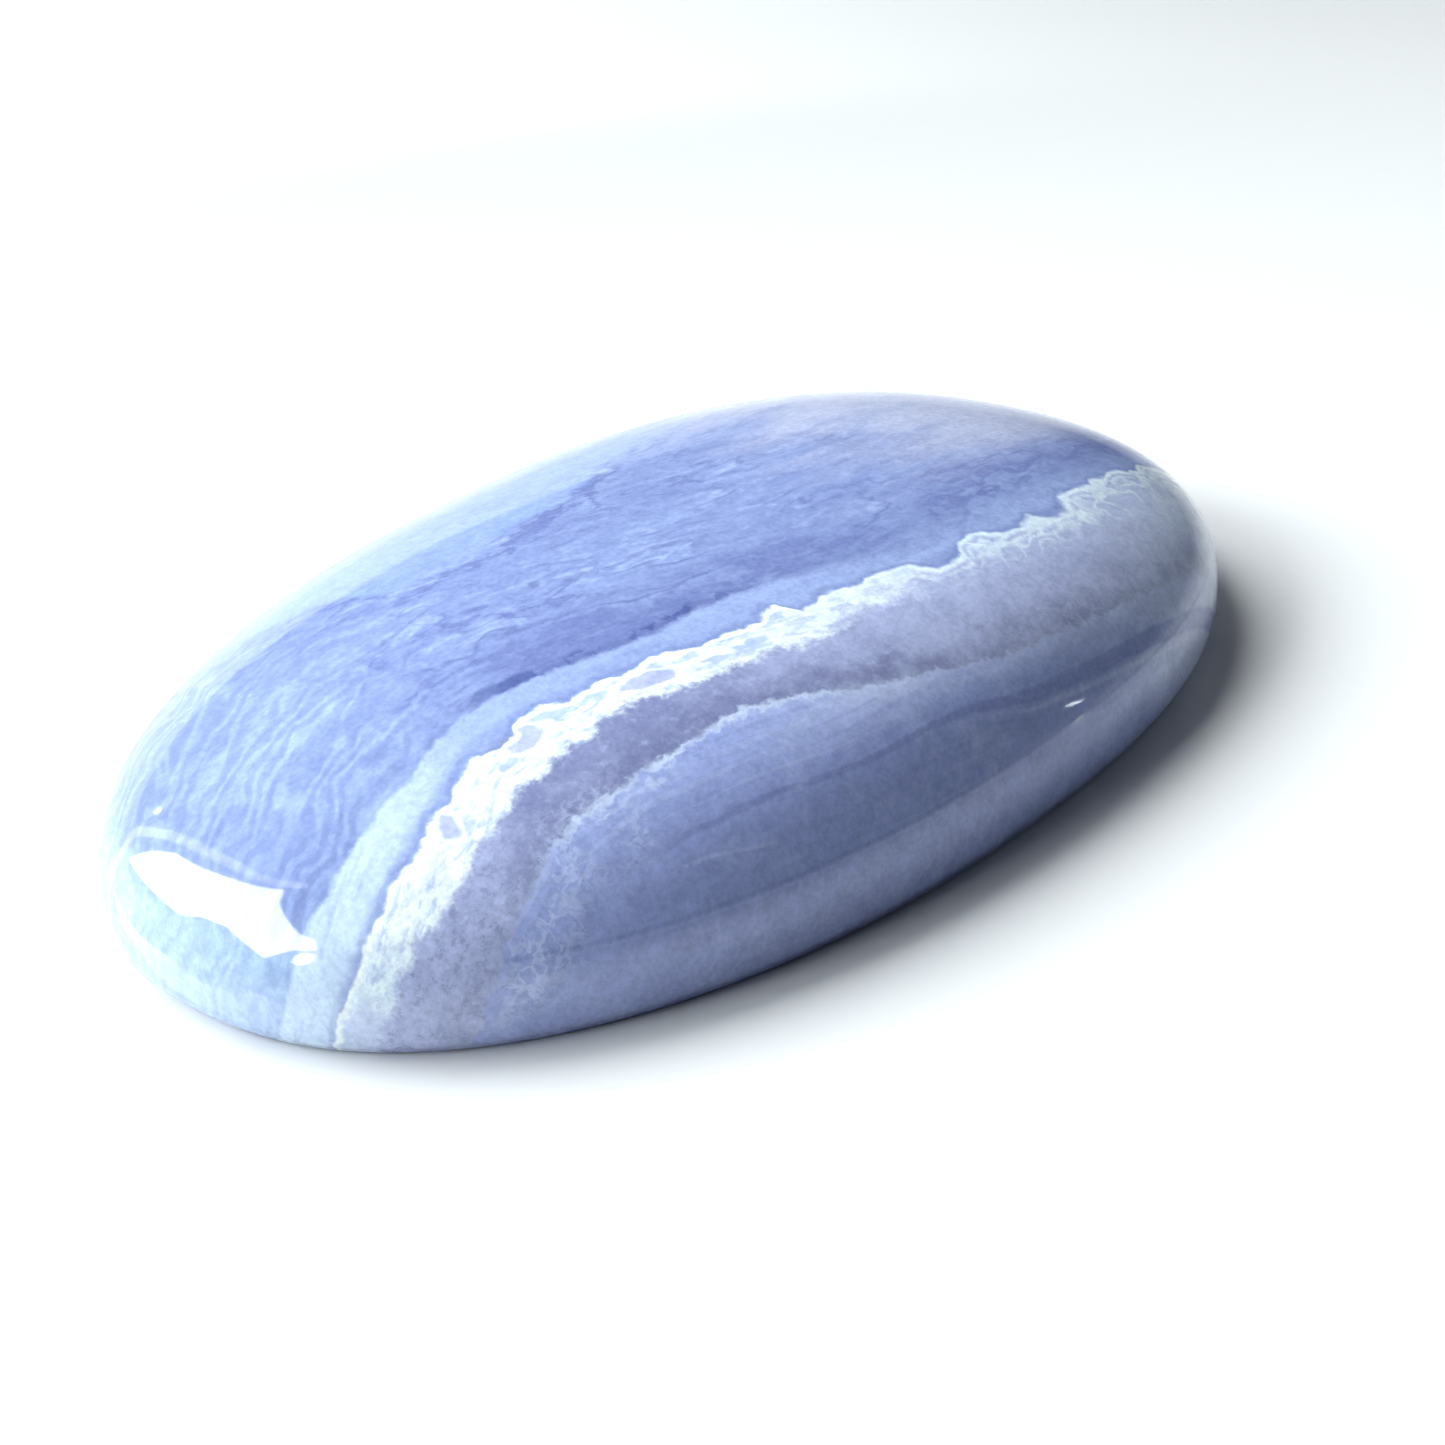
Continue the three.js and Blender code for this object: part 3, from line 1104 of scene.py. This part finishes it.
FRAME_GLOW = 3.0
LAMP_OUTLINE = [(-0.76, -0.10), (-0.78, -0.07), (-0.76, -0.03), (-0.73, -0.03), (-0.72, -0.06)]
PANELS = (
    ("window_light", WINDOW_OUTLINE, WINDOW_GLOW),
    ("window_gap", GAP_OUTLINE, WINDOW_GLOW),
    ("window_frame", FRAME_OUTLINE, FRAME_GLOW),
    ("small_lamp", LAMP_OUTLINE, WINDOW_GLOW / 2),
)


def glow_finish(name, colour, glow):
    """A finish that only shines."""
    return one_shader(name, "ShaderNodeEmission", {"Color": opaque(colour), "Strength": glow})


def make_panel(name, azimuth, elevation, outline_points, glow, colour, distance=WINDOW_DISTANCE):
    """A flat glowing panel that faces the stone from a place at these two angles."""
    towards = direction(azimuth, elevation)
    side = Vector((math.cos(azimuth), math.sin(azimuth), 0))
    upwards = towards.cross(side)
    corners = [(towards + u * side + v * upwards) * distance for u, v in outline_points]
    panel = stage_sheet(name, corners, glow_finish(name, colour, glow))
    panel.visible_camera = False
    return panel


for name, shape, glow in PANELS:
    make_panel(name, WINDOW_AZIMUTH, WINDOW_ELEVATION, shape, glow, WINDOW_COLOUR)
make_panel("far_lamp", GLINT_AZIMUTH, GLINT_ELEVATION, GLINT_OUTLINE, WINDOW_GLOW, WINDOW_COLOUR)
print("window:", len(PANELS), "panels and a far lamp")

# %% [markdown]
# Three round lights behind and beside the stone turn the shadow to the front and soften it. They
# have no mirror image, because the stone shows only one broad highlight.

# %% Round lights
LOW_COLOUR = (1.0, 0.92, 0.83)
FILL_COLOUR = (0.90, 0.98, 1.12)
ROUND_LIGHT_DISTANCE = 1.6
DISC_CORNERS = 24
ROUND_LIGHTS = {
    "high_light": {"azimuth": 179, "elevation": 47, "half_angle": 22, "glow": 9.8, "colour": WINDOW_COLOUR},
    "low_light": {"azimuth": 114, "elevation": 13, "half_angle": 22, "glow": 0.9, "colour": LOW_COLOUR},
    "fill_light": {"azimuth": 84, "elevation": 6, "half_angle": 20, "glow": 1.7, "colour": FILL_COLOUR},
}


def make_round_light(name, azimuth, elevation, half_angle, glow, colour):
    """A far glowing disc that no polish mirrors."""
    radius = math.tan(math.radians(half_angle))
    turns = [math.tau * i / DISC_CORNERS for i in range(DISC_CORNERS)]
    rim = [(radius * math.cos(turn), radius * math.sin(turn)) for turn in turns]
    angles = (math.radians(azimuth), math.radians(elevation))
    disc = make_panel(name, *angles, rim, glow, colour, ROUND_LIGHT_DISTANCE)
    disc.visible_glossy = False


for name, place in ROUND_LIGHTS.items():
    make_round_light(name, **place)
print("round lights:", ", ".join(ROUND_LIGHTS))

# %% [markdown]
# The room itself is dim. A low bright strip stands behind the table: the stone mirrors it as the
# pale zone along its far edge, which the field's colour also paints paler. A low card in front is
# mirrored in the foot of the front wall, which is painted paler as well.

# %% Low card and room
CARD_SPAN = (-90.0, 110.0)
CARD_PLACE = -43.0
CARD_HEIGHT = 1.5
CARD_GLOW = 0.30
ROOM_GLOW = 0.035
ROOM_COLOUR = (0.90, 0.98, 1.0)
STRIP = {"azimuth": 178, "core": 14, "reach": 66, "top": 11.6, "blur": 0.006, "glow": 0.93}


def make_low_card():
    """A low white card in front of the stone, which only polish shows: the near edge of the white."""
    (left, right), depth, height = CARD_SPAN, CARD_PLACE, CARD_HEIGHT
    corners = [(left, depth, 0), (right, depth, 0), (right, depth, height), (left, depth, height)]
    corners = [tuple(v * MM for v in corner) for corner in corners]
    card = stage_sheet("low_card", corners, glow_finish("card_white", TABLE_WHITE, CARD_GLOW))
    card.visible_camera = False
    card.visible_diffuse = False
    card.visible_shadow = False


def strip_of_light(nodes, facing):
    """The glow of the low strip, with a crisp upper edge and soft ends."""
    values = {0: facing, 1: direction(math.radians(STRIP["azimuth"]), 0.0)}
    share = nodes.add("ShaderNodeVectorMath", {"operation": "DOT_PRODUCT"}, values, output="Value")
    ends = nodes.rise(share, math.cos(math.radians(STRIP["reach"])), math.cos(math.radians(STRIP["core"])))
    height = nodes.add("ShaderNodeSeparateXYZ", {}, {0: facing}, output="Z")
    top = math.sin(math.radians(STRIP["top"]))
    return ends * nodes.rise(height, top + STRIP["blur"], top - STRIP["blur"]) * STRIP["glow"]


def make_surround():
    """A dim room with the low strip."""
    world = bpy.data.worlds.new("surround")
    bpy.context.scene.world = world
    world.use_nodes = True
    nodes = Nodes(world.node_tree)
    facing = nodes.add("ShaderNodeTexCoord", {}, output="Generated")
    values = {"Color": opaque(ROOM_COLOUR), "Strength": strip_of_light(nodes, facing) + ROOM_GLOW}
    room = nodes.add("ShaderNodeBackground", {}, values)
    nodes.add("ShaderNodeOutputWorld", {}, {"Surface": room})


make_low_card()
make_surround()
bpy.context.scene.view_settings.view_transform = "Standard"
print("room: a strip of light up to", STRIP["top"], "degrees")
